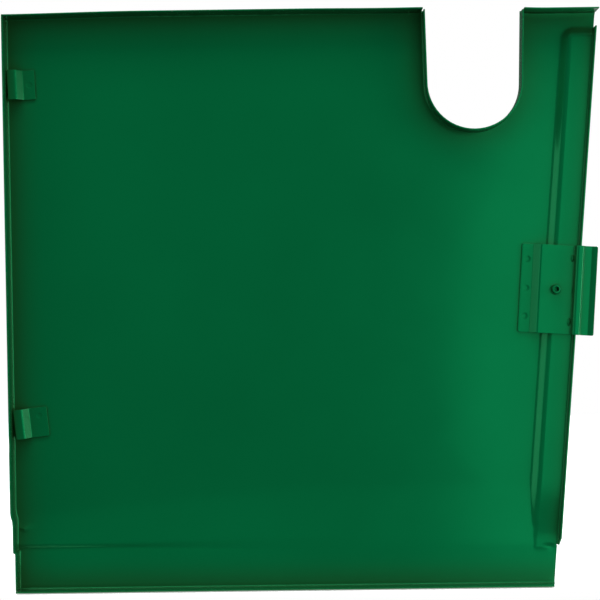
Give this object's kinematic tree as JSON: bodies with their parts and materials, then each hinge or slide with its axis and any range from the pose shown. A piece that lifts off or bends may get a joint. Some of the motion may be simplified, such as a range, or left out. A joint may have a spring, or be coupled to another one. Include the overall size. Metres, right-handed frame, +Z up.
{
  "type": "sheet metal access cover",
  "caption": "Pressed sheet-metal access cover with folded edges, a round-bottomed notch, hook clips and a latch bracket with a threaded insert.",
  "frame": {"origin": "middle of the standoff's thread, where the screw that holds the cover goes in", "axes": "+Z up; +X across the cover, from the clips to the latch bracket; the flanges point towards -Y and the outer face looks towards +Y"},
  "size_m": [0.509, 0.019, 0.494],
  "materials": {
    "green_paint": "semi-gloss baked enamel over pressed steel"
  },
  "bodies": {
    "root": {"cover_skin": "green_paint", "upper_hook_clip": "green_paint", "lower_hook_clip": "green_paint", "latch_bracket": "green_paint", "threaded_standoff": "green_paint"}
  },
  "joints": []
}
